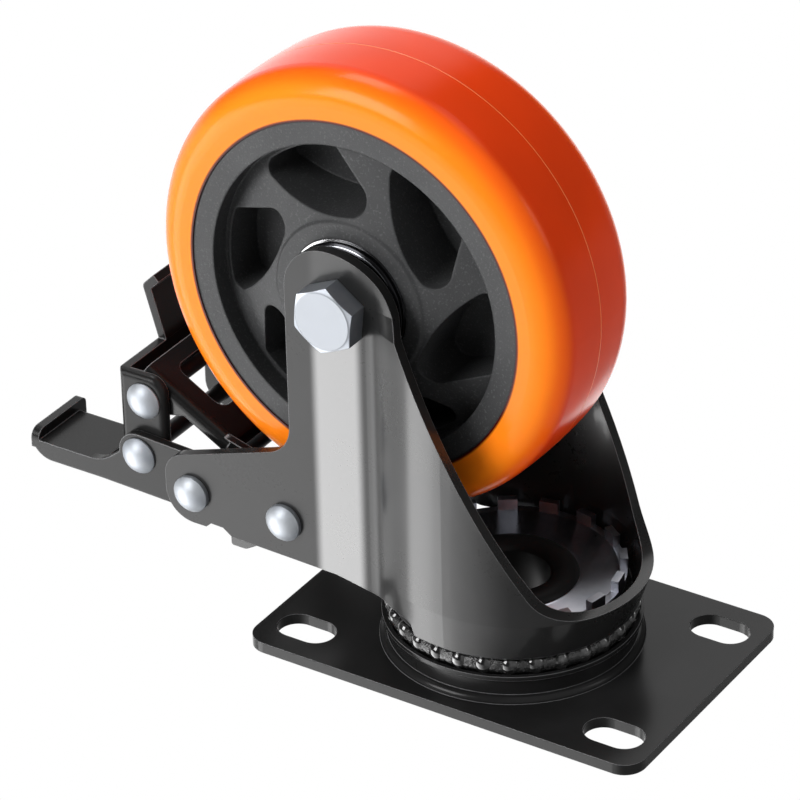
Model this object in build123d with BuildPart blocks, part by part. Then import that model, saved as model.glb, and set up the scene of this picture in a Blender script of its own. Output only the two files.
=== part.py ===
from build123d import *
import os
from math import asin, cos, hypot, radians, sin, sqrt, tan

os.makedirs("parts", exist_ok=True)

# Swivel castor with a pedal brake, standing on its mounting plate with the wheel on top.
# Z is the swivel axis, Y is the axle, X runs along the plate away from the brake.

# Mounting plate
plate_length = 96.0
plate_width = 64.0
plate_thickness = 2.5
plate_corner = 5.0
slot_spacing_x = 76.0
slot_spacing_y = 45.0
slot_width = 8.8
slot_length = 13.6

# Main ball race between the plate's boss and the fork
main_ball = 5.0
main_pitch = 25.0
main_ball_count = 30
ball_seat = 0.02
race_running = 0.25
boss_top = 9.0
boss_lip = 28.0
boss_wall = 27.0
boss_step = 8.0
boss_root = 1.5
boss_sheet = 2.5
race_gap = 3.0

# Fork
sheet = 2.5
floor_radius = 27.6
floor_trim = 0.1
floor_hole = 14.0
floor_bend = 1.4
leg_flat = 22.0
leg_bulge_start = -19.0
leg_bend = 8.0
leg_bulge = 28.0
leg_nose = 30.5
leg_shoulder = 82.0
shoulder_drop = 4.0
shoulder_bulge = 24.2
shoulder_fade = 9.0
shoulder_end = 22.3
rim_height = 21.7
rim_corner = 11.8
rim_margin = 2.0
front_foot = 21.0
front_slope = 28.55
head_top = 96.2
head_front_radius = 17.6
head_back_radius = 10.6
leg_back_offset = 12.5
leg_back_foot = 45.7
leg_back_corner = 8.0
skirt_start = -6.5
skirt_low = (-9.0, 16.4)
skirt_high = (-20.0, 16.8)
skirt_corner = 2.0
belly_front = (-30.0, 18.6)
belly_back = (-57.0, 19.3)
notch_front = (-59.2, 20.9)
notch_back = (-62.3, 21.0)
notch_end = -63.6
ear_top = 34.5
ear_top_corner = 6.0
ear_reach = 7.0
ear_drop = 7.6

# Upper race, lock ring and kingpin
upper_ball = 3.2
upper_pitch = 19.0
upper_ball_count = 20
upper_lift = 0.75
ring_sheet = 1.7
ring_outer = 24.4
ring_dish = 1.2
tab_count = 16
tab_width = 4.2
tab_height = 2.6
pin_outer = 10.5
pin_bore = 8.2
pin_flange = 13.5
pin_flange_thickness = 2.0
pin_collar = 14.3
pin_crest = 1.8
pin_fit = 0.05

# Wheel
axle_x = -28.5
axle_z = 83.0
wheel_diameter = 100.0
tread_width = 32.0
tread_crown = 0.9
tread_shoulder = 7.0
rim_radius = 39.5
rim_width = 31.4
rim_inner = 34.4
web_depth = 11.0
web_slope = 0.33
hub_radius = 17.5
hub_width = 34.0
window_count = 6
window_reach = 33.0
membrane = 3.0
window_start = 7.7
window_end = 25.0
window_foot = (22.0, 4.2)
window_belly = (11.2, 17.3)
window_round = 3.6
window_corner = 2.3

# Axle and wheel bearings
bolt_radius = 4.0
bolt_hole_fit = 0.1
bolt_head_flats = 13.5
bolt_head_height = 5.0
bolt_head_turn = 24.0
crown_flat = 0.4
crown_width = 3.5
crown_drop = 1.2
nut_height = 6.5
bolt_end = 2.0
sleeve_radius = 6.0
bearing_bore_fit = 0.03
bearing_inner = 8.4
bearing_outer = 11.6
bearing_radius = 14.0
bearing_width = 8.0
bearing_ball = 4.4
bearing_ball_count = 8
bearing_running = 0.3
cap_radius = 13.7
cap_height = 1.8
cap_sheet = 0.7
cap_hole = 7.0

# Brake linkage pivots, seen from the side
ear_pivot = (-66.8, 27.4)
link_pivot = (-82.6, 30.4)
lever_pivot = (-82.2, 43.1)
shoe_pivot = (-43.0, 27.7)
rivet_radius = 2.0
rivet_fit = 0.05
rivet_head = 4.2
rivet_dome = 2.0
fork_rivet_rim = 1.0
link_rivet_rim = 0.4
loose_fit = 0.65
brake_sheet = 2.0
layer_gap = 0.25

# Foot pedal
foot_tip = -112.0
foot_heel = -93.0
foot_top = 25.7
foot_inner = -4.0
foot_lip = 2.4
foot_lip_edge = -1.4
foot_fold = 2.4
foot_corner = 5.4
foot_heel_curve = 9.0
lip_corner = 1.5
arm_bottom = 21.5
arm_end_radius = 7.0
link_end_radius = 5.3

# Release lever
lever_back = -88.9
lever_front = -76.9
lever_top = 49.2
lever_web_bottom = 38.0
lever_corner = 4.0
lever_bend = 1.6
tab_near_edge = -1.5
tab_tip = (-92.5, 63.0)
tab_hook = 3.0
tab_root = 4.0
tab_bend = 1.5

# Brake shoe
shoe_top = (-83.0, 50.0)
shoe_fold = (-61.6, 37.7)
shoe_lip = 2.6
shoe_side = 3.2
shoe_lug = 4.2
shoe_pivot_lug = 5.0
shoe_window_start = 3.9
shoe_window_end = 17.6
shoe_window_width = 16.6
shoe_window_corner = 2.5
shoe_bend = 2.4

# Lock tongue
tongue_tail = (-57.5, 15.6)
tongue_tail_radius = 2.1
tongue_end = -60.7
tongue_end_top = 19.1
tongue_end_corner = 0.6
tongue_web_back = -37.5
tongue_web_front = -32.0
tongue_bottom = 23.8
tongue_tip = -21.2
tongue_width = 4.0

# Values that follow from the ones above
fork_bottom = boss_top + race_gap
fork_floor = fork_bottom + sheet
main_centre = boss_top + race_gap / 2
upper_centre = fork_floor + upper_lift
ring_bottom = fork_floor + 0.36 * sheet
ring_top = ring_bottom + ring_sheet
rim_top = ring_top + ring_dish
inner_face = leg_flat - sheet
arm_outer = inner_face - layer_gap
arm_inner = arm_outer - brake_sheet
lever_outer = arm_inner - layer_gap
lever_inner = lever_outer - brake_sheet
shoe_outer = lever_inner - layer_gap
shoe_inner = shoe_outer - brake_sheet

axle = Axis((axle_x, 0, axle_z), (0, 1, 0))
axle_section = Plane(origin=(axle_x, 0, axle_z), x_dir=(1, 0, 0), z_dir=(0, 0, 1))
wheel_side = Plane(origin=(axle_x, 0, axle_z), x_dir=(1, 0, 0), z_dir=(0, -1, 0))


def side(y):
    return Plane.XZ.offset(-y)


def at_pivot(pivot, y):
    return Plane(origin=(pivot[0], y, pivot[1]), x_dir=(1, 0, 0), z_dir=(0, -1, 0))


def pivot_axis(pivot):
    return Axis((pivot[0], 0, pivot[1]), (0, 1, 0))


def near_corner(sketch, x, y):
    return sketch.vertices().sort_by_distance(Vector(x, y, 0))[0]


def discs(*places):
    return [Edge.make_circle(radius, Plane((x, z, 0))) for (x, z), radius in places]


# Mounting plate: pressed boss, ball groove, four long holes
with BuildPart() as top_plate:
    with BuildSketch():
        RectangleRounded(plate_length, plate_width, plate_corner)
    extrude(amount=plate_thickness)
    with BuildSketch(Plane.XZ):
        with BuildLine():
            root = Line((boss_wall + boss_root, plate_thickness), (boss_wall + boss_root, 0))
            Line(root @ 1, (0, 0))
            Line((0, 0), (0, boss_top))
            Line((0, boss_top), (boss_lip, boss_top))
            Line((boss_lip, boss_top), (boss_lip, boss_step))
            Line((boss_lip, boss_step), (boss_wall, boss_step))
            Line((boss_wall, boss_step), (boss_wall, plate_thickness + boss_root))
            RadiusArc((boss_wall, plate_thickness + boss_root), root @ 0, boss_root)
        make_face()
    revolve(axis=Axis.Z)
    hollow = boss_top - boss_sheet
    with BuildSketch(Plane.XZ) as boss_hollow:
        with Locations(((boss_wall - boss_sheet) / 2, hollow / 2)):
            Rectangle(boss_wall - boss_sheet, hollow)
    revolve(axis=Axis.Z, mode=Mode.SUBTRACT)
    with BuildSketch(Plane.XZ):
        with Locations((main_pitch, main_centre)):
            Circle(main_ball / 2 + ball_seat)
    revolve(axis=Axis.Z, mode=Mode.SUBTRACT)
    with BuildSketch():
        with GridLocations(slot_spacing_x, slot_spacing_y, 2, 2):
            SlotOverall(slot_length, slot_width)
        Circle(pin_outer + pin_fit)
    extrude(amount=boss_top, mode=Mode.SUBTRACT)
top_plate.part.label = "top_plate"
export_step(top_plate.part, "parts/top_plate.step")

# Kingpin: hollow rivet with a flange below and a rolled collar above
with BuildPart() as kingpin:
    flange_top = boss_top - boss_sheet
    with BuildSketch(Plane.XZ):
        with BuildLine():
            Polyline(
                (pin_bore, flange_top - pin_flange_thickness),
                (pin_flange, flange_top - pin_flange_thickness),
                (pin_flange, flange_top),
                (pin_outer, flange_top),
                (pin_outer, ring_top),
                (pin_collar, ring_top),
            )
            crest = (pin_outer + pin_fit + 1, ring_top + pin_crest)
            ThreePointArc((pin_collar, ring_top), crest, (pin_bore, ring_top - pin_fit))
            Line((pin_bore, ring_top - pin_fit), (pin_bore, flange_top - pin_flange_thickness))
        make_face()
    revolve(axis=Axis.Z)
kingpin.part.label = "kingpin"
export_step(kingpin.part, "parts/kingpin.step")

# Lock ring: dished ring whose upright tabs catch the tongue
with BuildPart() as lock_ring:
    dish_start = pin_flange + 1.5
    dish_end = ring_outer - 1.5
    with BuildSketch(Plane.XZ):
        Polygon(
            (pin_outer + pin_fit, ring_bottom),
            (dish_start, ring_bottom),
            (dish_end, ring_bottom + ring_dish),
            (ring_outer, ring_bottom + ring_dish),
            (ring_outer, rim_top),
            (dish_end, rim_top),
            (dish_start, ring_top),
            (pin_outer + pin_fit, ring_top),
            align=None,
        )
    revolve(axis=Axis.Z)
    with BuildSketch(Plane.XZ):
        with Locations((upper_pitch, upper_centre)):
            Circle(upper_ball / 2 + ball_seat)
    revolve(axis=Axis.Z, mode=Mode.SUBTRACT)
    tab_thickness = ring_sheet
    with BuildSketch(Plane.XY.offset(rim_top)):
        half_step = 180 / tab_count
        with PolarLocations(ring_outer - tab_thickness / 2, tab_count, half_step):
            Rectangle(tab_thickness, tab_width)
    extrude(amount=tab_height)
lock_ring.part.label = "lock_ring"
export_step(lock_ring.part, "parts/lock_ring.step")

# Balls of the two swivel races
with BuildPart(Plane.XY.offset(main_centre)) as main_race_balls:
    with PolarLocations(main_pitch, main_ball_count):
        Sphere(main_ball / 2)
main_race_balls.part.label = "main_race_balls"
export_step(main_race_balls.part, "parts/main_race_balls.step")

with BuildPart(Plane.XY.offset(upper_centre)) as upper_race_balls:
    with PolarLocations(upper_pitch, upper_ball_count):
        Sphere(upper_ball / 2)
upper_race_balls.part.label = "upper_race_balls"
export_step(upper_race_balls.part, "parts/upper_race_balls.step")


# Fork: one pressed sheet, flat behind the axle and bulged round the race in front
def leg_plan(height, nose, bulge, inset, back):
    flat = leg_flat - inset
    widest = bulge - inset
    rise = bulge - leg_flat
    arc_radius = (leg_bulge_start**2 + rise**2) / (2 * rise) - inset
    start = -sqrt(arc_radius**2 - (arc_radius - (widest - flat)) ** 2)
    with BuildSketch(Plane.XY.offset(height)) as plan:
        with BuildLine():
            Line((back, -flat), (start, -flat))
            RadiusArc((start, -flat), (0, -widest), -arc_radius)
            EllipticalCenterArc((0, 0), nose - inset, widest, start_angle=-90, arc_size=180)
            RadiusArc((0, widest), (start, flat), -arc_radius)
            Polyline((start, flat), (back, flat), (back, -flat))
        make_face()
        for edge in (-flat, flat):
            fillet(near_corner(plan, start, edge), leg_bend + inset)
    return plan.sketch


leg_sections = (
    (fork_bottom, floor_radius - floor_bend, floor_radius - floor_bend),
    (fork_bottom + floor_bend, floor_radius, floor_radius),
    (rim_height, leg_nose, leg_bulge),
    (leg_shoulder, leg_nose, leg_bulge),
    (leg_shoulder + shoulder_drop, leg_nose, shoulder_bulge),
    (leg_shoulder + shoulder_fade, leg_nose, shoulder_end),
    (leg_shoulder + shoulder_fade + 2 * head_front_radius, leg_nose, shoulder_end),
)
ear_back = ear_pivot[0] - ear_reach
ear_bottom = ear_pivot[1] - ear_drop
legs_outer = [leg_plan(height, nose, bulge, 0, ear_back - sheet) for height, nose, bulge in leg_sections]
legs_inner = [leg_plan(height, nose, bulge, sheet, ear_back - 2 * sheet) for height, nose, bulge in leg_sections]
top_front = front_foot - (head_top - rim_height) * tan(radians(front_slope))
leg_back = axle_x - leg_back_offset

with BuildPart() as fork:
    loft(legs_outer, ruled=True)
    loft(legs_inner, ruled=True, mode=Mode.SUBTRACT)
    # side view of the pressing
    with BuildSketch(side(leg_nose + sheet)) as outline:
        with BuildLine():
            Polyline(
                (leg_back, head_top),
                (top_front, head_top),
                (front_foot, rim_height),
                (leg_nose + rim_margin, rim_height),
                (leg_nose + rim_margin, fork_bottom - rim_margin),
                (skirt_start, fork_bottom - rim_margin),
                skirt_low,
                skirt_high,
                belly_front,
                belly_back,
                notch_front,
                notch_back,
                (notch_end, ear_bottom),
                (ear_back, ear_bottom),
                (ear_back, ear_top),
                (leg_back, leg_back_foot),
                close=True,
            )
        make_face()
        fillet(near_corner(outline, leg_back, head_top), head_back_radius)
        fillet(near_corner(outline, top_front, head_top), head_front_radius)
        fillet(near_corner(outline, front_foot, rim_height), rim_corner)
        fillet(near_corner(outline, *skirt_low), skirt_corner)
        fillet(near_corner(outline, ear_back, ear_bottom), ear_reach)
        fillet(near_corner(outline, ear_back, ear_top), ear_top_corner)
        fillet(near_corner(outline, leg_back, leg_back_foot), leg_back_corner)
    extrude(amount=2 * (leg_nose + sheet), mode=Mode.INTERSECT)
    # round floor on the main race
    with BuildSketch(Plane.XY.offset(fork_bottom)):
        Circle(floor_radius - floor_bend - floor_trim)
    extrude(amount=sheet)
    # centre hole, ball grooves, axle and rivet holes
    with BuildSketch(Plane.XY.offset(fork_bottom)):
        Circle(floor_hole)
    extrude(amount=sheet, mode=Mode.SUBTRACT)
    with BuildSketch(Plane.XZ):
        with Locations((main_pitch, main_centre)):
            Circle(main_ball / 2 + race_running)
        with Locations((upper_pitch, upper_centre)):
            Circle(upper_ball / 2 + race_running)
    revolve(axis=Axis.Z, mode=Mode.SUBTRACT)
    with BuildSketch(wheel_side.offset(leg_nose)):
        Circle(bolt_radius + bolt_hole_fit)
    extrude(amount=-2 * leg_nose, mode=Mode.SUBTRACT)
    with BuildSketch(side(-leg_nose)):
        with Locations(ear_pivot, shoe_pivot):
            Circle(rivet_radius + rivet_fit)
    extrude(amount=-2 * leg_nose, mode=Mode.SUBTRACT)
fork.part.label = "fork"
export_step(fork.part, "parts/fork.step")

# Axle bolt, nut and the sleeve that keeps the legs apart
with BuildPart() as axle_bolt:
    with BuildSketch(wheel_side.offset(leg_flat)):
        RegularPolygon(bolt_head_flats / 2, 6, major_radius=False, rotation=bolt_head_turn)
    extrude(amount=bolt_head_height)
    with BuildSketch(axle_section) as head_crown:
        with BuildLine():
            crown = bolt_head_flats / 2 - crown_flat
            top = -(leg_flat + bolt_head_height)
            Polyline(
                (crown, top),
                (crown + crown_width, top),
                (crown + crown_width, top + crown_drop),
                close=True,
            )
        make_face()
    revolve(axis=axle, mode=Mode.SUBTRACT)
    with BuildSketch(wheel_side.offset(leg_flat)):
        Circle(bolt_radius)
    extrude(amount=-(2 * leg_flat + nut_height + bolt_end))
    chamfer(axle_bolt.edges().sort_by(Axis.Y)[-1], 0.8)
axle_bolt.part.label = "axle_bolt"
export_step(axle_bolt.part, "parts/axle_bolt.step")

with BuildPart() as axle_nut:
    with BuildSketch(wheel_side.offset(-leg_flat)):
        RegularPolygon(bolt_head_flats / 2, 6, major_radius=False, rotation=bolt_head_turn)
        Circle(bolt_radius + bolt_hole_fit / 2, mode=Mode.SUBTRACT)
    extrude(amount=-nut_height)
    chamfer(axle_nut.edges().filter_by(GeomType.CIRCLE).group_by(Axis.Y)[-1], 0.5)
axle_nut.part.label = "axle_nut"
export_step(axle_nut.part, "parts/axle_nut.step")

with BuildPart() as axle_sleeve:
    with BuildSketch(wheel_side.offset(inner_face)):
        Circle(sleeve_radius)
        Circle(bolt_radius + bolt_hole_fit, mode=Mode.SUBTRACT)
    extrude(amount=-2 * inner_face)
axle_sleeve.part.label = "axle_sleeve"
export_step(axle_sleeve.part, "parts/axle_sleeve.step")

# Wheel bearings, one in each end of the hub
bearing_y = hub_width / 2 - bearing_width / 2
bearing_pitch = (bearing_inner + bearing_outer) / 2

with BuildPart() as bearing_inner_rings:
    with BuildSketch(axle_section):
        with Locations((0, bearing_y), (0, -bearing_y)):
            with Locations(((sleeve_radius + bearing_bore_fit + bearing_inner) / 2, 0)):
                Rectangle(bearing_inner - sleeve_radius - bearing_bore_fit, bearing_width)
            with Locations((bearing_pitch, 0)):
                Circle(bearing_ball / 2 + bearing_running, mode=Mode.SUBTRACT)
    revolve(axis=axle)
bearing_inner_rings.part.label = "bearing_inner_rings"
export_step(bearing_inner_rings.part, "parts/bearing_inner_rings.step")

with BuildPart() as bearing_outer_rings:
    with BuildSketch(axle_section):
        with Locations((0, bearing_y), (0, -bearing_y)):
            with Locations(((bearing_radius + bearing_outer) / 2, 0)):
                Rectangle(bearing_radius - bearing_outer, bearing_width)
            with Locations((bearing_pitch, 0)):
                Circle(bearing_ball / 2 + ball_seat, mode=Mode.SUBTRACT)
    revolve(axis=axle)
bearing_outer_rings.part.label = "bearing_outer_rings"
export_step(bearing_outer_rings.part, "parts/bearing_outer_rings.step")

with BuildPart(wheel_side.offset(bearing_y), wheel_side.offset(-bearing_y)) as bearing_balls:
    with PolarLocations(bearing_pitch, bearing_ball_count):
        Sphere(bearing_ball / 2)
bearing_balls.part.label = "bearing_balls"
export_step(bearing_balls.part, "parts/bearing_balls.step")

# Wheel core: rim ring, conical web with six slanted pockets a side, bearing seats
with BuildSketch() as window_outline:
    window_high = (window_start, sqrt(window_reach**2 - window_start**2))
    window_low = (window_end, sqrt(window_reach**2 - window_end**2))
    with BuildLine():
        RadiusArc(window_high, window_low, window_reach)
        Line(window_low, window_foot)
        ThreePointArc(window_foot, window_belly, window_high)
    make_face()
    fillet(near_corner(window_outline, *window_foot), window_round)
    for corner in (window_high, window_low):
        fillet(near_corner(window_outline, *corner), window_corner)

with BuildPart() as wheel_core:
    with BuildSketch(axle_section):
        with BuildLine():
            web_edge = web_depth + web_slope * (rim_inner - hub_radius - 0.6)
            Polyline(
                (bearing_outer, 0),
                (bearing_outer, hub_width / 2 - bearing_width),
                (bearing_radius, hub_width / 2 - bearing_width),
                (bearing_radius, hub_width / 2),
                (hub_radius, hub_width / 2),
                (hub_radius + 0.6, web_edge),
                (rim_inner, web_depth),
                (rim_inner, rim_width / 2),
                (rim_radius, rim_width / 2),
                (rim_radius, 0),
                (bearing_outer, 0),
            )
        make_face()
        mirror(about=Plane.XZ)
    revolve(axis=axle)
    for face, depth in ((membrane / 2, hub_width), (-membrane / 2, -hub_width)):
        with BuildSketch(wheel_side.offset(face)):
            with PolarLocations(0, window_count):
                add(window_outline.sketch)
        extrude(amount=depth / 2, mode=Mode.SUBTRACT)
wheel_core.part.label = "wheel_core"
export_step(wheel_core.part, "parts/wheel_core.step")

# Tyre moulded on the core
with BuildPart() as tread:
    with BuildSketch(axle_section) as tyre_section:
        with BuildLine():
            edge_radius = wheel_diameter / 2 - tread_crown
            Polyline(
                (edge_radius, -tread_width / 2),
                (rim_radius, -tread_width / 2),
                (rim_radius, tread_width / 2),
                (edge_radius, tread_width / 2),
            )
            ThreePointArc(
                (edge_radius, tread_width / 2),
                (wheel_diameter / 2, 0),
                (edge_radius, -tread_width / 2),
            )
        make_face()
        fillet(tyre_section.vertices().group_by(Axis.X)[-1], tread_shoulder)
    revolve(axis=axle)
tread.part.label = "tread"
export_step(tread.part, "parts/tread.step")

# Dust caps over the bearings
with BuildPart() as dust_cap_near:
    with BuildSketch(axle_section):
        with BuildLine():
            cap_top = -(hub_width / 2 + cap_height)
            Polyline(
                (cap_hole, cap_top),
                (cap_radius - 1, cap_top),
                (cap_radius, cap_top + 0.6),
                (cap_radius, -hub_width / 2),
                (cap_radius - cap_sheet, -hub_width / 2),
                (cap_radius - cap_sheet, cap_top + cap_sheet),
                (cap_hole, cap_top + cap_sheet),
                close=True,
            )
        make_face()
    revolve(axis=axle)
dust_cap_near.part.label = "dust_cap_near"
export_step(dust_cap_near.part, "parts/dust_cap_near.step")

with BuildPart() as dust_cap_far:
    add(dust_cap_near.part.mirror(Plane.XZ))
dust_cap_far.part.label = "dust_cap_far"
export_step(dust_cap_far.part, "parts/dust_cap_far.step")


# Rivets: one shank through both sides, a domed head at each end
def rivet_section(pivot, seat, rim):
    dome = (rivet_head**2 + rivet_dome**2) / (2 * rivet_dome)
    half_angle = asin(rivet_head / dome) / 2
    crown = seat + rim + rivet_dome
    shoulder = (dome * sin(half_angle), crown - dome * (1 - cos(half_angle)))
    with BuildSketch(Plane(origin=(pivot[0], 0, pivot[1]), x_dir=(1, 0, 0), z_dir=(0, 0, 1))) as section:
        with BuildLine():
            Polyline((0, 0), (0, crown))
            ThreePointArc((0, crown), shoulder, (rivet_head, seat + rim))
            Polyline(
                (rivet_head, seat + rim), (rivet_head, seat), (rivet_radius, seat), (rivet_radius, 0), (0, 0)
            )
        make_face()
        mirror(about=Plane.XZ)
    return section.sketch


with BuildPart() as ear_rivet:
    revolve(rivet_section(ear_pivot, leg_flat, fork_rivet_rim), axis=pivot_axis(ear_pivot))
ear_rivet.part.label = "ear_rivet"
export_step(ear_rivet.part, "parts/ear_rivet.step")

with BuildPart() as shoe_rivet:
    revolve(rivet_section(shoe_pivot, leg_flat, fork_rivet_rim), axis=pivot_axis(shoe_pivot))
shoe_rivet.part.label = "shoe_rivet"
export_step(shoe_rivet.part, "parts/shoe_rivet.step")

with BuildPart() as pedal_rivet:
    revolve(rivet_section(link_pivot, arm_outer, link_rivet_rim), axis=pivot_axis(link_pivot))
pedal_rivet.part.label = "pedal_rivet"
export_step(pedal_rivet.part, "parts/pedal_rivet.step")

with BuildPart() as lever_rivet:
    revolve(rivet_section(lever_pivot, lever_outer, link_rivet_rim), axis=pivot_axis(lever_pivot))
lever_rivet.part.label = "lever_rivet"
export_step(lever_rivet.part, "parts/lever_rivet.step")

# Foot pedal: near arm on the ear pivot, foot plate folded off its top edge, upturned lip
arm_end_x = ear_pivot[0] + arm_end_radius
link_end_x = link_pivot[0] - link_end_radius
with BuildPart() as foot_pedal:
    with BuildSketch(side(-arm_inner)) as arm:
        with BuildLine():
            Polyline(
                (foot_tip, foot_top + foot_lip),
                (foot_tip + brake_sheet, foot_top + foot_lip),
                (foot_tip + brake_sheet, foot_top),
                (foot_heel, foot_top),
                (link_end_x, link_pivot[1] - 0.6),
                (link_end_x, link_pivot[1] + link_end_radius),
                (arm_end_x, ear_pivot[1] + arm_end_radius),
                (arm_end_x, ear_pivot[1] - arm_end_radius),
                (foot_heel, arm_bottom),
                (foot_tip, arm_bottom),
                close=True,
            )
        make_face()
        fillet(near_corner(arm, foot_tip, arm_bottom), foot_corner)
        fillet(near_corner(arm, foot_heel, foot_top), foot_heel_curve)
        fillet(near_corner(arm, link_end_x, link_pivot[1] + link_end_radius), link_end_radius - 0.3)
        fillet(near_corner(arm, arm_end_x, ear_pivot[1] + arm_end_radius), arm_end_radius - 0.2)
        fillet(near_corner(arm, arm_end_x, ear_pivot[1] - arm_end_radius), arm_end_radius - 0.2)
        with Locations(ear_pivot, link_pivot):
            Circle(rivet_radius + rivet_fit, mode=Mode.SUBTRACT)
    extrude(amount=brake_sheet)
    with BuildSketch(Plane.XY.offset(foot_top)):
        with Locations((foot_tip, -arm_outer)):
            Rectangle(foot_heel - foot_tip, foot_inner + arm_outer, align=Align.MIN)
    extrude(amount=-brake_sheet)
    with BuildSketch(Plane.XY.offset(foot_top - brake_sheet)):
        with Locations((foot_tip, -arm_outer)):
            Rectangle(brake_sheet, foot_lip_edge + arm_outer, align=Align.MIN)
    extrude(amount=brake_sheet + foot_lip)
    lip_ends = foot_pedal.edges().filter_by(Axis.X).group_by(Axis.Z)[-1].group_by(Axis.Y)
    fillet(lip_ends[0], foot_fold)
    fillet(lip_ends[-1], lip_corner)
foot_pedal.part.label = "foot_pedal"
export_step(foot_pedal.part, "parts/foot_pedal.step")

# Link on the far side that mirrors the pedal's arm
with BuildPart() as far_link:
    with BuildSketch(side(arm_outer)):
        make_hull(discs((ear_pivot, link_end_radius), (link_pivot, link_end_radius)))
        with Locations(ear_pivot, link_pivot):
            Circle(rivet_radius + rivet_fit, mode=Mode.SUBTRACT)
    extrude(amount=brake_sheet)
far_link.part.label = "far_link"
export_step(far_link.part, "parts/far_link.step")

# Release lever: two cheeks, a web across their back and a tab that leans outwards
with BuildPart() as release_lever:
    with BuildSketch(side(lever_outer), side(-lever_inner)) as cheeks:
        with Locations((lever_back, link_pivot[1] - link_end_radius)):
            Rectangle(lever_front - lever_back, lever_top - link_pivot[1] + link_end_radius, align=Align.MIN)
        fillet(near_corner(cheeks, lever_front, lever_top), lever_corner)
        fillet(near_corner(cheeks, lever_front, link_pivot[1] - link_end_radius), link_end_radius)
        fillet(near_corner(cheeks, lever_back, link_pivot[1] - link_end_radius), link_end_radius)
        with Locations(lever_pivot, link_pivot):
            Circle(rivet_radius + rivet_fit, mode=Mode.SUBTRACT)
    extrude(amount=brake_sheet)
    with BuildSketch(side(lever_outer)):
        with Locations((lever_back, lever_web_bottom)):
            Rectangle(brake_sheet, lever_top - lever_web_bottom, align=Align.MIN)
    extrude(amount=2 * lever_outer)
    back_edges = release_lever.edges().filter_by(Axis.Z).group_by(Axis.X)[0].group_by(Axis.Y)
    fillet(back_edges[0] + back_edges[-1], lever_bend)
    with BuildSketch(side(lever_outer - lever_bend)):
        with BuildLine() as tab_line:
            FilletPolyline(
                (lever_back, lever_top - tab_root),
                (lever_back, lever_top),
                (tab_tip[0], tab_tip[1] - tab_bend),
                (tab_tip[0] + tab_hook, tab_tip[1] + tab_bend),
                radius=tab_bend,
            )
            offset(amount=brake_sheet, side=Side.RIGHT)
        make_face()
    extrude(amount=lever_outer - lever_bend - tab_near_edge)
release_lever.part.label = "release_lever"
export_step(release_lever.part, "parts/release_lever.step")

# Brake shoe: channel whose face meets the tread, with a window and two pairs of lugs
face_run = hypot(shoe_fold[0] - shoe_top[0], shoe_fold[1] - shoe_top[1])
face_along = ((shoe_fold[0] - shoe_top[0]) / face_run, (shoe_fold[1] - shoe_top[1]) / face_run)
face_plane = Plane(
    origin=(shoe_top[0], 0, shoe_top[1]),
    x_dir=(face_along[0], 0, face_along[1]),
    z_dir=(-face_along[1], 0, face_along[0]),
)
face_end = Plane(face_plane.origin, x_dir=(0, 1, 0), z_dir=(face_along[0], 0, face_along[1]))


def under_face(along, depth):
    return (
        shoe_top[0] + along * face_along[0] + depth * face_along[1],
        shoe_top[1] + along * face_along[1] - depth * face_along[0],
    )


side_disc = shoe_side / 2
with BuildPart() as brake_shoe:
    with BuildSketch(side(shoe_outer), side(-shoe_inner)):
        upper = (under_face(side_disc, side_disc), side_disc)
        middle = (under_face(face_run / 2, side_disc), side_disc)
        lower = (under_face(face_run - side_disc, side_disc), side_disc)
        make_hull(discs((lever_pivot, shoe_lug), upper, middle))
        make_hull(discs(upper, lower))
        make_hull(discs(lower, (shoe_pivot, shoe_pivot_lug)))
        with Locations(lever_pivot):
            Circle(rivet_radius + loose_fit, mode=Mode.SUBTRACT)
        with Locations(shoe_pivot):
            Circle(rivet_radius + rivet_fit, mode=Mode.SUBTRACT)
    extrude(amount=brake_sheet)
    with BuildSketch(side(shoe_outer)):
        with BuildLine():
            FilletPolyline(
                shoe_top,
                shoe_fold,
                (shoe_fold[0] + 0.8, shoe_fold[1] - shoe_lip),
                radius=1.2,
            )
            offset(amount=brake_sheet, side=Side.RIGHT)
        make_face()
    extrude(amount=2 * shoe_outer)
    # round bends between the face and the two sides
    with BuildSketch(face_end):
        with Locations((shoe_bend / 2 - shoe_outer, -shoe_bend / 2), (shoe_outer - shoe_bend / 2, -shoe_bend / 2)):
            Rectangle(shoe_bend, shoe_bend)
        with Locations((shoe_bend - shoe_outer, -shoe_bend), (shoe_outer - shoe_bend, -shoe_bend)):
            Circle(shoe_bend, mode=Mode.SUBTRACT)
    extrude(amount=face_run, mode=Mode.SUBTRACT)
    with BuildSketch(face_plane) as window:
        with Locations((shoe_window_start, -shoe_window_width / 2)):
            Rectangle(shoe_window_end - shoe_window_start, shoe_window_width, align=Align.MIN)
        fillet(window.vertices(), shoe_window_corner)
    extrude(amount=-2 * brake_sheet, mode=Mode.SUBTRACT)
brake_shoe.part.label = "brake_shoe"
export_step(brake_shoe.part, "parts/brake_shoe.step")

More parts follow.
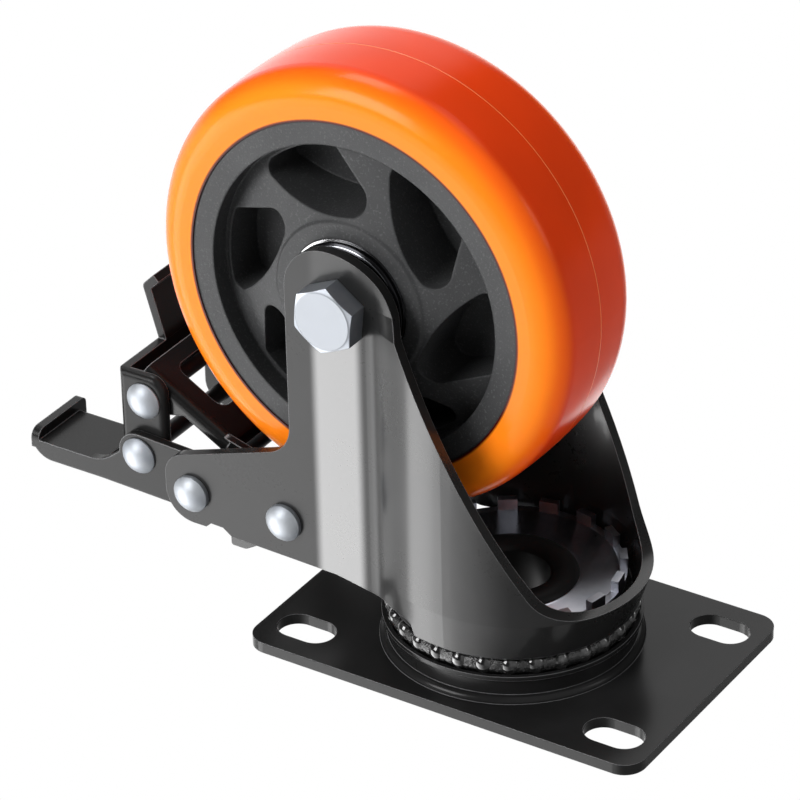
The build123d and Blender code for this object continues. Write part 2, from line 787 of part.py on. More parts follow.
# Lock tongue: strap on the shoe pivot with a nose over the lock ring and a tail below the ear
with BuildPart() as lock_tongue:
    nose_disc = brake_sheet * 0.8
    with BuildSketch(side(lever_outer), side(-lever_inner)):
        pivot_disc = (shoe_pivot, shoe_pivot_lug - 0.2)
        end_x = tongue_end + tongue_end_corner
        end_low = (end_x, tongue_tail[1] - tongue_tail_radius + tongue_end_corner)
        end_high = (end_x, tongue_end_top - tongue_end_corner)
        tail_end = [(place, tongue_end_corner) for place in (end_low, end_high)]
        make_hull(discs(pivot_disc, (tongue_tail, tongue_tail_radius), *tail_end))
        make_hull(discs(pivot_disc, ((tongue_web_front - nose_disc, tongue_bottom + nose_disc), nose_disc)))
        with Locations(shoe_pivot):
            Circle(rivet_radius + rivet_fit, mode=Mode.SUBTRACT)
    extrude(amount=brake_sheet)
    with BuildSketch(Plane.XY.offset(tongue_bottom)):
        with Locations(((tongue_web_back + tongue_web_front) / 2, 0)):
            Rectangle(tongue_web_front - tongue_web_back, 2 * lever_outer)
        with Locations(((tongue_web_front + tongue_tip) / 2, 0)):
            Rectangle(tongue_tip - tongue_web_front, tongue_width)
    extrude(amount=brake_sheet)
lock_tongue.part.label = "lock_tongue"
export_step(lock_tongue.part, "parts/lock_tongue.step")
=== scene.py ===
import math

import bpy
from mathutils import Matrix, Vector


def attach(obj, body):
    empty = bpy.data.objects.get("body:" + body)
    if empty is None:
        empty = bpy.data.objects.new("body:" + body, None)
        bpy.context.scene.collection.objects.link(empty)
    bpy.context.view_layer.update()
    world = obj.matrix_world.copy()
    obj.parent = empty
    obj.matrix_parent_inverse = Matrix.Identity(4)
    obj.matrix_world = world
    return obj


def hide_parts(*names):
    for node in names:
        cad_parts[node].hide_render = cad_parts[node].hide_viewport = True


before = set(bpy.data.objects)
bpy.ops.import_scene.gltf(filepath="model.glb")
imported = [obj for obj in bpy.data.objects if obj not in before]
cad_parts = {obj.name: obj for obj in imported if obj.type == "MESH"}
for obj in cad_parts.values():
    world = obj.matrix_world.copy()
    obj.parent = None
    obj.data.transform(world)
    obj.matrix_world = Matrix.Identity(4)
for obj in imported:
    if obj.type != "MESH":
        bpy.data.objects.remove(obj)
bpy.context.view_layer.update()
print("frame loaded:", len(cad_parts), "nodes")

mm = 0.001
white = (1.0, 1.0, 1.0)
axle = (-28.5 * mm, 83.0 * mm)  # x and z of the wheel's axis


# Shader sums: a Wire is one output of a node, and + - * ** on it add the Math nodes.
class Wire:
    def __init__(self, finish, socket):
        self.finish = finish
        self.socket = socket

    def maths(self, operation, *values):
        return self.finish.node("ShaderNodeMath", {"operation": operation}, dict(enumerate(values)))

    def __add__(self, other):
        return self.maths("ADD", self, other)

    def __sub__(self, other):
        return self.maths("SUBTRACT", self, other)

    def __rsub__(self, other):
        return self.maths("SUBTRACT", other, self)

    def __mul__(self, other):
        return self.maths("MULTIPLY", self, other)

    def __pow__(self, other):
        return self.maths("POWER", self, other)

    def __abs__(self):
        return self.maths("ABSOLUTE", self)

    __radd__ = __add__

    def band(self, low, high, start=0.0, end=1.0):  # eased step from low to high
        return self.finish.node(
            "ShaderNodeMapRange",
            {"interpolation_type": "SMOOTHSTEP"},
            {"Value": self, "From Min": low, "From Max": high, "To Min": start, "To Max": end},
        )

    def sway(self, amount):  # a noise's swing to both sides of its middle
        return (self - 0.5) * amount


# One material or world: node() makes any node from its settings and its sockets' values or wires.
class Finish:
    def __init__(self, owner, slotColour=None):
        self.owner = owner
        owner.use_nodes = True
        self.tree = owner.node_tree
        if slotColour:
            owner.diffuse_color = (*slotColour, 1.0)
            self.shader = self.tree.nodes["Principled BSDF"]
        self.place = self.node("ShaderNodeTexCoord", out="Object" if slotColour else "Generated")

    def node(self, kind, settings=None, sockets=None, out=0):
        made = self.tree.nodes.new(kind)
        for name, value in (settings or {}).items():
            setattr(made, name, value)
        for name, value in (sockets or {}).items():
            self.feed(made.inputs[name], value)
        return Wire(self, made.outputs[out])

    def feed(self, socket, value):
        if isinstance(value, Wire):
            self.tree.links.new(value.socket, socket)
        elif isinstance(value, tuple) and len(value) == 3 and len(socket.default_value) == 4:
            socket.default_value = (*value, 1.0)
        else:
            socket.default_value = value

    def set(self, **values):
        for name, value in values.items():
            self.feed(self.shader.inputs[name.replace("_", " ")], value)

    def noise(self, scale, detail, roughness):
        return self.node(
            "ShaderNodeTexNoise",
            None,
            {"Vector": self.place, "Scale": scale, "Detail": detail, "Roughness": roughness},
            out="Fac",
        )

    def axis(self, letter):
        return self.node("ShaderNodeSeparateXYZ", None, {"Vector": self.place}, out=letter)

    def reach(self, letters, centre=(0.0, 0.0)):  # distance from a centre in the plane of two axes
        first, second = (self.axis(letter) - middle for letter, middle in zip(letters, centre))
        return (first ** 2.0 + second ** 2.0) ** 0.5

    def blend(self, factor, first, second):
        return self.node(
            "ShaderNodeMix",
            {"data_type": "RGBA", "blend_type": "MIX"},
            {"Factor": factor, "A": first, "B": second},
            out="Result",
        )

    def bump(self, height, distance, edge=None):
        sockets = {"Height": height, "Distance": distance, "Strength": 1.0}
        if edge:
            sockets["Normal"] = edge
        return self.node("ShaderNodeBump", None, sockets)

    def roundEdge(self, radius):
        return self.node("ShaderNodeBevel", {"samples": 6}, {"Radius": radius})

    def edgeMask(self, rounded):  # 1 on the sharp edges of the solid
        flat = self.node("ShaderNodeNewGeometry", out="Normal")
        match = self.node(
            "ShaderNodeVectorMath", {"operation": "DOT_PRODUCT"}, {0: rounded, 1: flat}, out="Value"
        )
        return match.band(0.8, 0.97, 1.0, 0.0)

    def mixShaders(self, factor, first, second):
        return self.node("ShaderNodeMixShader", None, {0: factor, 1: first, 2: second})

    def emit(self, colour, strength):
        return self.node("ShaderNodeEmission", None, {"Color": colour, "Strength": strength})


def newFinish(name, slotColour):
    return Finish(bpy.data.materials.new(name), slotColour)


def tinted(tone, tint):  # tone is one grey or a colour
    parts = tone if isinstance(tone, tuple) else (tone,) * 3
    return tuple(part * factor for part, factor in zip(parts, tint))


# In the dictionaries below a noise is (scale, detail, roughness).


# Painted sheet: black with a light orange peel, and a painted highlight along its sharp edges
def satinBlack(name, tone=0.012, roughness=0.2, shine=0.3, edgeHighlightTone=0.1, edgeRadius=0.3 * mm):
    look = dict(
        slot=(0.03, 0.03, 0.03),
        grain=(900.0, 3.0, 0.6),
        grainPatch=(0.62, 0.8, 0.0, 0.15),
        grainGloss=0.03,
        drift=(45.0, 3.0, 0.5),
        driftPatch=(0.45, 0.75, 0.0, 0.25),
        driftGloss=0.06,
        peel=(300.0, 1.0, 0.4),
        peelDepth=0.006 * mm,
        patchTint=(2.2, 2.2, 2.3),
        edgeHighlightTint=(1.0, 1.0, 1.03),
    )
    finish = newFinish(name, look["slot"])
    grain = finish.noise(*look["grain"])
    drift = finish.noise(*look["drift"])
    rounded = finish.roundEdge(edgeRadius)
    patches = drift.band(*look["driftPatch"]) + grain.band(*look["grainPatch"])
    paint = finish.blend(patches, (tone, tone, tone), tinted(tone, look["patchTint"]))
    # painted highlight: the sharp edges are coloured paler, as if they catch the light
    edge = tinted(edgeHighlightTone, look["edgeHighlightTint"])
    finish.set(
        Base_Color=finish.blend(finish.edgeMask(rounded), paint, edge),
        Roughness=roughness + drift.sway(look["driftGloss"]) + grain.sway(look["grainGloss"]),
        Normal=finish.bump(finish.noise(*look["peel"]), look["peelDepth"], rounded),
        Specular_IOR_Level=shine,
    )
    return finish


# The fork's clear coat, laid out as painted reflection: full on the leg's flat, weaker on the bulge
# and round the head, none on the ear
def forkReflectionCoat(finish):
    look = dict(
        flat=(-34.2 * mm, -23.2 * mm),
        fade=1.3 * mm,
        bulge=-18.0 * mm,
        bulgeWeight=0.2,
        headHeight=(77.0 * mm, 83.0 * mm),
        headWeight=0.1,
        roughness=0.1,
        index=1.7,
    )
    along = finish.axis("X")
    fade = look["fade"]
    low, high = look["flat"]
    flat = along.band(low - fade, low + fade) * along.band(high - fade, high + fade, 1.0, 0.0)
    bulge = along.band(look["bulge"] - fade, look["bulge"] + fade, 0.0, look["bulgeWeight"])
    head = finish.axis("Z").band(*look["headHeight"], 1.0, look["headWeight"])
    # painted reflection: the coat's weight, not the shape, makes the leg's flat reflect brightly
    finish.set(
        Coat_Weight=(flat + bulge) * head, Coat_Roughness=look["roughness"], Coat_IOR=look["index"]
    )
    return finish


# Zinc plating: dark within shankHalf of the middle and duller past faceStart, where given
def brightZinc(
    name, roughness=0.24, tint=(0.52, 0.56, 0.61), metallic=1.0, shankHalf=None, faceStart=None
):
    look = dict(
        cloud=(220.0, 3.0, 0.5),
        cloudPatch=(0.35, 0.7),
        cloudTint=(0.86, 0.87, 0.9),
        cloudGloss=0.08,
        cloudShare=0.7,
        speck=(1500.0, 2.0, 0.5),
        speckGloss=0.05,
        speckShare=0.3,
        grainDepth=0.008 * mm,
        edgeRadius=0.2 * mm,
        shank=(0.03, 0.03, 0.032),
        shankFade=0.4 * mm,
        faceTint=(0.42, 0.42, 0.42),
        faceFade=0.2 * mm,
    )
    finish = newFinish(name, tint)
    cloud = finish.noise(*look["cloud"])
    speck = finish.noise(*look["speck"])
    plate = finish.blend(cloud.band(*look["cloudPatch"]), tint, tinted(tint, look["cloudTint"]))
    if shankHalf:
        head = abs(finish.axis("Y")).band(shankHalf, shankHalf + look["shankFade"])
        plate = finish.blend(head, look["shank"], plate)
    if faceStart:
        end = abs(finish.axis("Y")).band(faceStart, faceStart + look["faceFade"])
        plate = finish.blend(end, plate, tinted(tint, look["faceTint"]))
    grain = cloud * look["cloudShare"] + speck * look["speckShare"]
    finish.set(
        Base_Color=plate,
        Metallic=metallic,
        Roughness=roughness + cloud.sway(look["cloudGloss"]) + speck.sway(look["speckGloss"]),
        Normal=finish.bump(grain, look["grainDepth"], finish.roundEdge(look["edgeRadius"])),
    )
    return finish


# Lock ring: its flank is pressed up to the kingpin's rim
def ringZinc(name):
    look = dict(
        flank=(14.5 * mm, 22.6 * mm),
        slope=-0.5,
        roughness=0.3,
        tint=(0.5, 0.51, 0.55),
        fine=(500.0, 2.0, 0.5),
        fineDepth=0.02 * mm,
    )
    finish = brightZinc(name, roughness=look["roughness"], tint=look["tint"])
    low, high = look["flank"]
    radius = finish.reach("XY")
    flank = radius.maths("MINIMUM", radius.maths("MAXIMUM", radius, low), high)
    height = flank * look["slope"] + finish.noise(*look["fine"]) * look["fineDepth"]
    finish.set(Normal=finish.bump(height, 1.0))  # the height is in metres
    return finish


# Dust cap: pressed steel whose face is dark, partly its own dark finish and partly painted shade,
# with a painted highlight ring at the outer bead
def capSteel(name):
    look = dict(
        face=(0.02, 0.02, 0.022),
        beadHighlight=(0.3, 0.31, 0.33),
        line=(13.0 * mm, 13.1 * mm),
        lineFade=0.1 * mm,
        roughness=0.2,
        cloud=(260.0, 3.0, 0.5),
        cloudGloss=0.1,
        cloudDepth=0.01 * mm,
        edgeRadius=0.3 * mm,
    )
    finish = newFinish(name, look["beadHighlight"])
    cloud = finish.noise(*look["cloud"])
    radius = finish.reach("XZ", axle)
    low, high = look["line"]
    fade = look["lineFade"]
    # painted highlight: a thin bright ring at the bead, by the distance from the axle
    ring = radius.band(low, low + fade) * radius.band(high, high + fade, 1.0, 0.0)
    finish.set(
        Base_Color=finish.blend(ring, look["face"], look["beadHighlight"]),
        Metallic=1.0,
        Roughness=look["roughness"] + cloud.sway(look["cloudGloss"]),
        Normal=finish.bump(cloud, look["cloudDepth"], finish.roundEdge(look["edgeRadius"])),
    )
    return finish


def plainSteel(name, tone=0.5, roughness=0.25):
    look = dict(
        cloud=(300.0, 3.0, 0.5), cloudTint=(0.7, 0.7, 0.72), cloudGloss=0.12, cloudDepth=0.01 * mm
    )
    finish = newFinish(name, (tone, tone, tone))
    cloud = finish.noise(*look["cloud"])
    finish.set(
        Base_Color=finish.blend(cloud, (tone, tone, tone), tinted(tone, look["cloudTint"])),
        Metallic=1.0,
        Roughness=roughness + cloud.sway(look["cloudGloss"]),
        Normal=finish.bump(cloud, look["cloudDepth"]),
    )
    return finish


def greasedSteel(name):
    look = dict(
        slot=(0.05, 0.05, 0.05),
        dark=(0.012, 0.012, 0.012),
        pale=(0.07, 0.07, 0.07),
        metallic=0.5,
        roughness=0.12,
        cloud=(600.0, 3.0, 0.6),
        cloudPatch=(0.45, 0.7),
        cloudGloss=0.1,
        cloudDepth=0.12 * mm,
        coatWeight=0.8,
        coatRoughness=0.05,
    )
    finish = newFinish(name, look["slot"])
    cloud = finish.noise(*look["cloud"])
    finish.set(
        Base_Color=finish.blend(cloud.band(*look["cloudPatch"]), look["dark"], look["pale"]),
        Metallic=look["metallic"],
        Roughness=look["roughness"] + cloud.sway(look["cloudGloss"]),
        Normal=finish.bump(cloud, look["cloudDepth"]),
        Coat_Weight=look["coatWeight"],
        Coat_Roughness=look["coatRoughness"],
    )
    return finish


def raceGrease(name):
    look = dict(
        slot=(0.02, 0.02, 0.02),
        dark=(0.006, 0.006, 0.006),
        pale=(0.05, 0.05, 0.05),
        roughness=0.12,
        shine=0.6,
        lumps=(900.0, 4.0, 0.65),
        lumpPatch=(0.5, 0.75),
        lumpGloss=0.1,
        lumpDepth=0.35 * mm,
    )
    finish = newFinish(name, look["slot"])
    lumps = finish.noise(*look["lumps"])
    finish.set(
        Base_Color=finish.blend(lumps.band(*look["lumpPatch"]), look["dark"], look["pale"]),
        Roughness=look["roughness"] + lumps.sway(look["lumpGloss"]),
        Normal=finish.bump(lumps, look["lumpDepth"]),
        Specular_IOR_Level=look["shine"],
    )
    return finish


# Wheel core: black moulding with a fine grain and pale specks
def mouldedPlastic(name):
    look = dict(
        slot=(0.04, 0.04, 0.042),
        tone=0.035,
        toneTint=(1.0, 1.02, 1.05),
        speckTone=0.1,
        speckTint=(1.0, 1.0, 1.02),
        speck=(1900.0, 1.0, 0.5),
        speckPatch=(0.56, 0.74, 0.0, 0.4),
        drift=(60.0, 3.0, 0.5),
        driftPatch=(0.4, 0.8, 0.0, 0.2),
        grain=(2600.0, 2.0, 0.6),
        grainGloss=0.2,
        grainDepth=0.07 * mm,
        roughness=0.46,
        shine=0.15,
        edgeRadius=0.7 * mm,
    )
    finish = newFinish(name, look["slot"])
    grain = finish.noise(*look["grain"])
    speck = finish.noise(*look["speck"])
    drift = finish.noise(*look["drift"])
    finish.set(
        Base_Color=finish.blend(
            speck.band(*look["speckPatch"]) + drift.band(*look["driftPatch"]),
            tinted(look["tone"], look["toneTint"]),
            tinted(look["speckTone"], look["speckTint"]),
        ),
        Roughness=look["roughness"] + grain.sway(look["grainGloss"]),
        Normal=finish.bump(grain, look["grainDepth"], finish.roundEdge(look["edgeRadius"])),
        Specular_IOR_Level=look["shine"],
    )
    return finish


# Tyre: orange rubber with orange sides and painted shade that darkens the tread to red, painted light
# on the shoulders, a parting line round its middle that is a ridge with a painted highlight, and a
# painted shadow line at the rim
def orangeTyre(name):
    look = dict(
        slot=(0.9, 0.25, 0.03),
        side=(1.0, 0.23, 0.01),
        shadedTread=(0.76, 0.05, 0.004),
        patchTint=(0.85, 0.85, 0.85),
        shoulder=(9.8 * mm, 15.6 * mm),
        shoulderHighlight=(1.0, 0.11, 0.003),
        shoulderHighlightWeight=2.0,
        seam=(1.0, 0.26, 0.07),
        seamWeight=0.8,
        partingLine=0.0,
        lineHalf=0.22 * mm,
        rim=(39.7 * mm, 40.3 * mm),
        rimShade=(0.05, 0.004, 0.003),
        drift=(30.0, 2.0, 0.5),
        driftPatch=(0.3, 0.7),
        driftGloss=0.06,
        grain=(1200.0, 2.0, 0.5),
        grainShare=0.04,
        reliefDepth=0.1 * mm,
        roughness=0.2,
        shine=0.11,
        softWeight=0.12,
        softRadius=(5.0 * mm, 1.2 * mm, 0.3 * mm),
    )
    finish = newFinish(name, look["slot"])
    drift = finish.noise(*look["drift"])
    grain = finish.noise(*look["grain"])
    along = finish.axis("Y")
    seam = abs(along - look["partingLine"]).band(0.0, look["lineHalf"], 1.0, 0.0)
    side = abs(along).band(*look["shoulder"])
    rim = finish.reach("XZ", axle).band(*look["rim"], 1.0, 0.0)
    patched = tinted(look["shadedTread"], look["patchTint"])
    # painted shade: the tread's darker red stands for the orange rubber in less light, while the
    # sides keep the orange
    colour = finish.blend(drift.band(*look["driftPatch"]), look["shadedTread"], patched)
    colour = finish.blend(side, colour, look["side"])
    # painted light: a brighter band on the shoulder between tread and side
    colour = finish.blend(side * (1.0 - side) * look["shoulderHighlightWeight"], colour, look["shoulderHighlight"])
    # painted highlight: the parting line's ridge is coloured pale
    colour = finish.blend(seam * look["seamWeight"], colour, look["seam"])
    finish.set(
        Base_Color=finish.blend(rim, colour, look["rimShade"]),
        Roughness=look["roughness"] + drift.sway(look["driftGloss"]),
        Normal=finish.bump(seam + grain * look["grainShare"], look["reliefDepth"]),
        Specular_IOR_Level=look["shine"],
        Subsurface_Weight=look["softWeight"],
        Subsurface_Radius=look["softRadius"],
        Subsurface_Scale=1.0,
    )
    return finish


boltLook = dict(roughness=0.36, tint=(0.34, 0.36, 0.39), metallic=0.8, faceStart=26.8 * mm)
rivetLook = dict(roughness=0.5, tint=(0.34, 0.36, 0.385), metallic=0.7, shankHalf=16.9 * mm)
# the brake parts get a stronger painted highlight on their edges
brakeEdge = dict(edgeHighlightTone=0.3, edgeRadius=0.5 * mm)
finishes = {
    "top_plate": satinBlack("plateBlack", roughness=0.22, shine=0.14, edgeHighlightTone=0.2),
    "fork": forkReflectionCoat(satinBlack("forkBlack", roughness=0.28, shine=0.17, edgeHighlightTone=0.24)),
    "kingpin": satinBlack("kingpinBlack", roughness=0.35, shine=0.06, edgeHighlightTone=0.03),
    "lock_ring": ringZinc("lockRingZinc"),
    "axle_bolt": brightZinc("boltZinc", **boltLook),
    "axle_nut": brightZinc("nutZinc", **boltLook),
    "axle_sleeve": plainSteel("sleeveSteel"),
    "bearing_inner_rings": plainSteel("innerRingSteel", 0.6, 0.2),
    "bearing_outer_rings": plainSteel("outerRingSteel", 0.6, 0.2),
    "bearing_balls": plainSteel("bearingBallSteel", 0.65, 0.1),
    "wheel_core": mouldedPlastic("corePlastic"),
    "tread": orangeTyre("tyreOrange"),
    "dust_cap_near": capSteel("capNear"),
    "dust_cap_far": capSteel("capFar"),
    "foot_pedal": satinBlack("pedalBlack", roughness=0.25, shine=0.12, **brakeEdge),
    "far_link": satinBlack("linkBlack", shine=0.15, edgeHighlightTone=0.2),
    "release_lever": satinBlack("leverBlack", roughness=0.25, shine=0.1, **brakeEdge),
    "brake_shoe": satinBlack("shoeBlack", shine=0.2, tone=0.006, **brakeEdge),
    "lock_tongue": satinBlack("tongueBlack"),
}
rivetZinc = brightZinc("rivetZinc", **rivetLook)
greasedBalls = greasedSteel("greasedBalls")
cleanBalls = plainSteel("cleanBalls", 0.6, 0.15)
for name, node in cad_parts.items():
    material = finishes.get(name, rivetZinc).owner
    if not node.material_slots:
        node.data.materials.append(material)
    for slot in node.material_slots:
        slot.material = material
print("finishes done:", len(finishes), "and the rivets")


# One row of balls: a circle of points, a sphere on each, turned at random
ballMesh = {"Segments": 40, "Rings": 24}


def ballTree():
    tree = bpy.data.node_groups.new("ballRow", "GeometryNodeTree")
    for name, kind in (
        ("Count", "NodeSocketInt"),
        ("Pitch Radius", "NodeSocketFloat"),
        ("Height", "NodeSocketFloat"),
        ("Ball Radius", "NodeSocketFloat"),
        ("Seed", "NodeSocketInt"),
        ("Material", "NodeSocketMaterial"),
    ):
        tree.interface.new_socket(name, in_out="INPUT", socket_type=kind)
    tree.interface.new_socket("Geometry", in_out="OUTPUT", socket_type="NodeSocketGeometry")

    def add(kind, sockets, settings=None):
        made = tree.nodes.new(kind)
        for name, value in (settings or {}).items():
            setattr(made, name, value)
        for name, value in sockets.items():
            if isinstance(value, bpy.types.NodeSocket):
                tree.links.new(value, made.inputs[name])
            else:
                made.inputs[name].default_value = value
        return made.outputs

    given = add("NodeGroupInput", {})
    circle = {"Vertices": given["Count"], "Radius": given["Pitch Radius"]}
    ring = add("GeometryNodeMeshCircle", circle)[0]
    lift = add("ShaderNodeCombineXYZ", {"Z": given["Height"]})[0]
    raised = add("GeometryNodeSetPosition", {"Geometry": ring, "Offset": lift})[0]
    ball = add("GeometryNodeMeshUVSphere", {**ballMesh, "Radius": given["Ball Radius"]})["Mesh"]
    smooth = add("GeometryNodeSetShadeSmooth", {"Geometry": ball})[0]
    anyTurn = {"data_type": "FLOAT_VECTOR"}
    turn = add("FunctionNodeRandomValue", {"Seed": given["Seed"], "Max": (math.tau,) * 3}, anyTurn)[0]
    placing = {"Points": raised, "Instance": smooth, "Rotation": turn}
    placed = add("GeometryNodeInstanceOnPoints", placing)[0]
    real = add("GeometryNodeRealizeInstances", {"Geometry": placed})[0]
    painted = add("GeometryNodeSetMaterial", {"Geometry": real, "Material": given["Material"]})[0]
    tree.links.new(painted, tree.nodes.new("NodeGroupOutput").inputs[0])
    return tree


def makePiece(name, tree, values):
    source = bpy.data.objects.new(name + "Source", bpy.data.meshes.new(name + "Source"))
    bpy.context.scene.collection.objects.link(source)
    modifier = source.modifiers.new("nodes", "NODES")
    modifier.node_group = tree
    for item in tree.interface.items_tree:
        if item.in_out == "INPUT":
            modifier[item.identifier] = values[item.name]
    graph = bpy.context.evaluated_depsgraph_get()
    mesh = bpy.data.meshes.new_from_object(source.evaluated_get(graph), depsgraph=graph)
    bpy.data.objects.remove(source)
    mesh.name = name
    piece = bpy.data.objects.new(name, mesh)
    bpy.context.scene.collection.objects.link(piece)
    return piece


ballRows = {
    "mainRaceBalls": {
        "Count": 30,
        "Pitch Radius": 25.0 * mm,
        "Height": 10.5 * mm,
        "Ball Radius": 2.5 * mm,
        "Seed": 4,
        "Material": greasedBalls.owner,
    },
    "upperRaceBalls": {
        "Count": 20,
        "Pitch Radius": 19.0 * mm,
        "Height": 15.25 * mm,
        "Ball Radius": 1.6 * mm,
        "Seed": 7,
        "Material": cleanBalls.owner,
    },
}
rowTree = ballTree()
for name, stands in (("mainRaceBalls", "main_race_balls"), ("upperRaceBalls", "upper_race_balls")):
    row = makePiece(name, rowTree, ballRows[name])
    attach(row, "plate")
    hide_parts(stands)
print("ball rows done")


# Grease packed between the main race's balls
greaseBead = {
    "pitch": 25.0 * mm,
    "height": 10.4 * mm,
    "thick": 2.1 * mm,
    "around": 180,
    "across": 20,
}


def makeRing(name, values, material):
    around, across = values["around"], values["across"]
    points, faces = [], []
    for i in range(around):
        turn = math.tau * i / around
        nextRow = (i + 1) % around * across
        for j in range(across):
            tilt = math.tau * j / across
            reach = values["pitch"] + values["thick"] * math.cos(tilt)
            height = values["height"] + values["thick"] * math.sin(tilt)
            points.append((reach * math.cos(turn), reach * math.sin(turn), height))
            k = (j + 1) % across
            faces.append((i * across + j, nextRow + j, nextRow + k, i * across + k))
    mesh = bpy.data.meshes.new(name)
    mesh.from_pydata(points, [], faces)
    mesh.materials.append(material.owner)
    mesh.shade_smooth()
    ring = bpy.data.objects.new(name, mesh)
    bpy.context.scene.collection.objects.link(ring)
    return ring


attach(makeRing("raceGrease", greaseBead, raceGrease("raceGrease")), "plate")
print("grease done")


# Floor: white to the camera but for the bore's shade, clear to reflections, paper to soft light
floorLook = {
    "half": 6.0,
    "drop": 0.2 * mm,
    "paper": (0.9, 0.9, 0.9),
    "roughness": 0.9,
    "boreShade": (8.5 * mm, 9.5 * mm),
}


def makeFloor(values):
    half = values["half"]
    mesh = bpy.data.meshes.new("floor")
    corners = [(-half, -half, 0.0), (half, -half, 0.0), (half, half, 0.0), (-half, half, 0.0)]
    mesh.from_pydata(corners, [], [(0, 1, 2, 3)])
    floor = bpy.data.objects.new("floor", mesh)
    floor.location.z = -values["drop"]
    bpy.context.scene.collection.objects.link(floor)
    paper = newFinish("paper", white)
    paper.set(Base_Color=values["paper"], Roughness=values["roughness"], Specular_IOR_Level=0.0)
    base = Wire(paper, paper.shader.outputs[0])
    glossy = paper.node("ShaderNodeLightPath", out="Is Glossy Ray")
    clear = paper.node("ShaderNodeBsdfTransparent")
    seen = paper.node("ShaderNodeLightPath", out="Is Camera Ray")
    seen = seen * paper.reach("XY").band(*values["boreShade"])
    whole = paper.mixShaders(seen, paper.mixShaders(glossy, base, clear), paper.emit(white, 1.0))
    paper.feed(paper.tree.nodes["Material Output"].inputs["Surface"], whole)
    mesh.materials.append(paper.owner)


makeFloor(floorLook)

# Sky: even soft light, and a studio that only reflections see.
# Starts and ends are degrees round the swivel's axis, with 0 at the front (-Y) and 90 at +X.
# Below the horizon stands one pale wall on the front left, with plain paper straight down.
# Above it the studio is dark but for a pale back and side.
skyLook = {
    "soft": 0.35,
    "above": 0.1,
    "back": 1.6,
    "backStart": (-175.0, -160.0),
    "backEnd": (-130.0, -110.0),
    "side": 0.7,
    "sideStart": (10.0, 35.0),
    "sideEnd": (100.0, 125.0),
    "below": 1.6,
    "middle": 3.6,
    "wall": 8.8,
    "wallStart": (-68.0, -60.0),
    "wallEnd": (-48.0, -20.0),
    "right": 0.12,
    "rightFade": (-30.0, 25.0),
    "horizon": (-0.12, 0.02),
    "steep": 0.9,
    "steepFade": (-0.93, -0.78),
}


def makeSky(values):
    world = bpy.data.worlds.new("studio")
    bpy.context.scene.world = world
    sky = Finish(world)
    soft = sky.tree.nodes["Background"]
    soft.inputs["Color"].default_value = (*white, 1.0)
    soft.inputs["Strength"].default_value = values["soft"]
    across = sky.axis("X")
    turn = across.maths("ARCTAN2", across, sky.axis("Y") * -1.0) * math.degrees(1.0)
    height = sky.axis("Z")
    wall = turn.band(*values["wallStart"]) * turn.band(*values["wallEnd"], 1.0, 0.0)
    low = turn.band(*values["wallStart"], values["below"], values["middle"])
    low = low * turn.band(*values["rightFade"], 1.0, values["right"])
    low = low + wall * (values["wall"] - values["middle"])
    steep = height.band(*values["steepFade"], 1.0, 0.0)
    low = low * (1.0 - steep) + steep * values["steep"]
    back = turn.band(*values["backStart"]) * turn.band(*values["backEnd"], values["back"], 0.0)
    side = turn.band(*values["sideStart"]) * turn.band(*values["sideEnd"], values["side"], 0.0)
    over = height.band(*values["horizon"])
    level = low * (1.0 - over) + over * (back + side + values["above"])
    studio = sky.node("ShaderNodeBackground", None, {"Color": white, "Strength": level})
    shine = sky.node("ShaderNodeLightPath", out="Is Glossy Ray")
    whole = sky.mixShaders(shine, Wire(sky, soft.outputs[0]), studio)
    sky.feed(sky.tree.nodes["World Output"].inputs["Surface"], whole)


makeSky(skyLook)

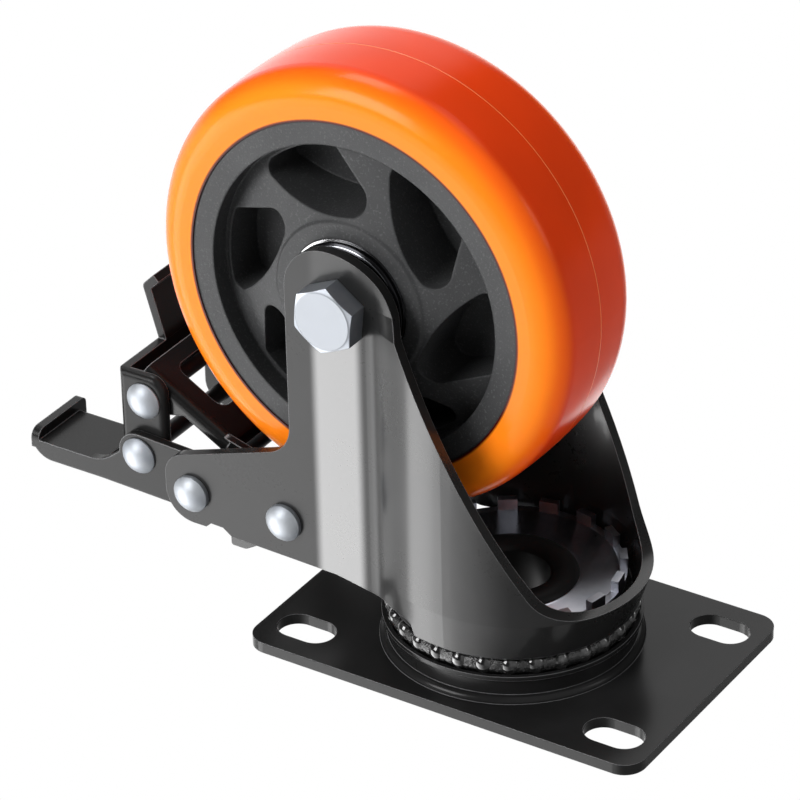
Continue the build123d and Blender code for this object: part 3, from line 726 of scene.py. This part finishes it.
# Panels: size, place and target in metres, power in watts
panels = {
    "keyPanel": ((0.5, 0.5), (-0.45, -0.85, 0.55), (-0.02, 0.0, 0.06), 10.0),
    "sidePanel": ((0.2, 0.4), (0.9, 0.25, 0.5), (0.0, 0.0, 0.05), 0.7),
    "ringPanel": ((0.5, 0.35), (0.2, 0.38, 1.0), (0.0, 0.0, 0.02), 1.1),
    "topPanel": ((0.4, 0.4), (-0.45, 0.1, 1.1), (0.0, 0.0, 0.05), 5.0),
}


def makePanel(name, size, place, target, power):
    lamp = bpy.data.lights.new(name, "AREA")
    lamp.shape = "RECTANGLE"
    lamp.size, lamp.size_y = size
    lamp.energy = power
    holder = bpy.data.objects.new(name, lamp)
    holder.location = place
    aim = Vector(target) - Vector(place)
    holder.rotation_euler = aim.to_track_quat("-Z", "Y").to_euler()
    bpy.context.scene.collection.objects.link(holder)


for name, values in panels.items():
    makePanel(name, *values)

# Camera: angles in degrees, lengths in metres, focal length and picture width in pixels
cameraSetup = {
    "azimuth": 33.12,
    "elevation": 30.65,
    "roll": -1.3,
    "distance": 0.92064,
    "targetHeight": 0.048,
    "shiftX": -0.02304,
    "shiftY": 0.01033,
    "focal": 4413.13,
    "pictureWidth": 800,
    "sensorWidth": 36.0,
    "clip": (0.05, 50.0),
}


def placeCamera(setup):
    a, e = math.radians(setup["azimuth"]), math.radians(setup["elevation"])
    back = Vector((math.sin(a) * math.cos(e), -math.cos(a) * math.cos(e), math.sin(e)))
    right = Vector((math.cos(a), math.sin(a), 0.0))
    up = back.cross(right)
    target = Vector((0.0, 0.0, setup["targetHeight"]))
    place = target + setup["shiftX"] * right + setup["shiftY"] * up + back * setup["distance"]
    roll = math.radians(setup["roll"])
    x = right * math.cos(roll) + up * math.sin(roll)
    y = -right * math.sin(roll) + up * math.cos(roll)
    lens = bpy.data.cameras.new("camera")
    lens.sensor_width = setup["sensorWidth"]
    lens.sensor_fit = "HORIZONTAL"
    lens.lens = setup["focal"] / setup["pictureWidth"] * setup["sensorWidth"]
    lens.clip_start, lens.clip_end = setup["clip"]
    camera = bpy.data.objects.new("camera", lens)
    turned = Matrix((x, y, back)).transposed().to_4x4()
    camera.matrix_world = Matrix.Translation(place) @ turned
    bpy.context.scene.collection.objects.link(camera)
    bpy.context.scene.camera = camera


placeCamera(cameraSetup)
bpy.context.scene.view_settings.view_transform = "Standard"
print("stage done")
